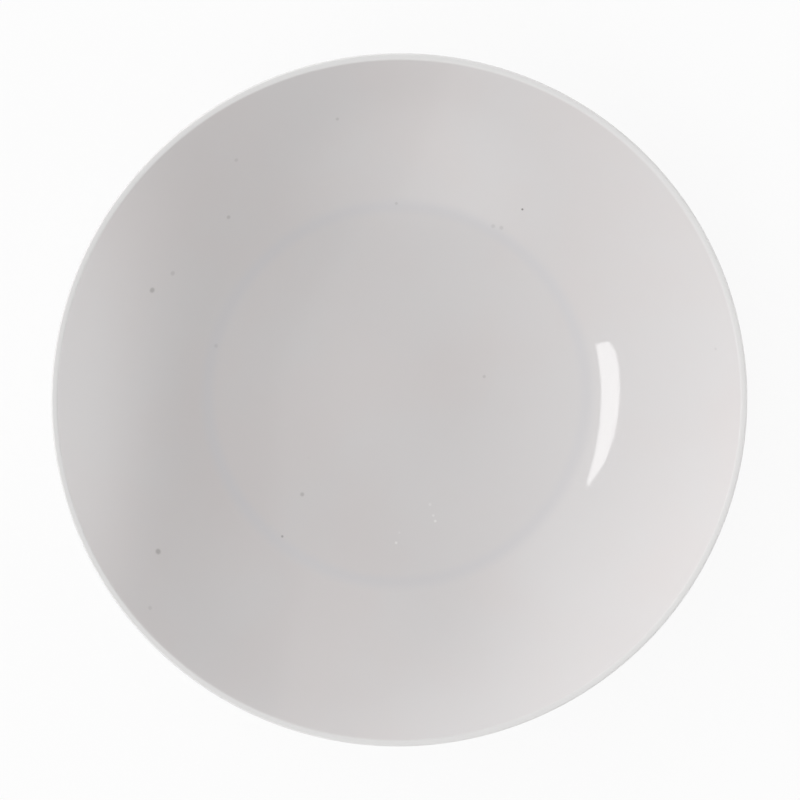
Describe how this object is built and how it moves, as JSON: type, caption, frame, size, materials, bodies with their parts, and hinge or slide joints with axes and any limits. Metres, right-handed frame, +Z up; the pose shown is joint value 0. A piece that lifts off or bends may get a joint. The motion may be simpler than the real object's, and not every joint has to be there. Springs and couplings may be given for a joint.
{
  "type": "soup plate",
  "caption": "Round coupe soup plate: a white glazed porcelain plate with a gently dished floor, a curved wall that steepens to a thin rounded rim, and a low foot ring, for serving soup.",
  "frame": {"origin": "centre of the foot ring's standing face, on the table", "axes": "+Z up along the plate's axis of revolution, out of the bowl; X and Y lie in the table plane"},
  "size_m": [0.21, 0.21, 0.035],
  "materials": {
    "biscuit": "matte",
    "white_glaze": "polished"
  },
  "bodies": {
    "root": {"porcelain_body": "biscuit", "bowl_glaze": "white_glaze", "base_glaze": "white_glaze"}
  },
  "joints": []
}
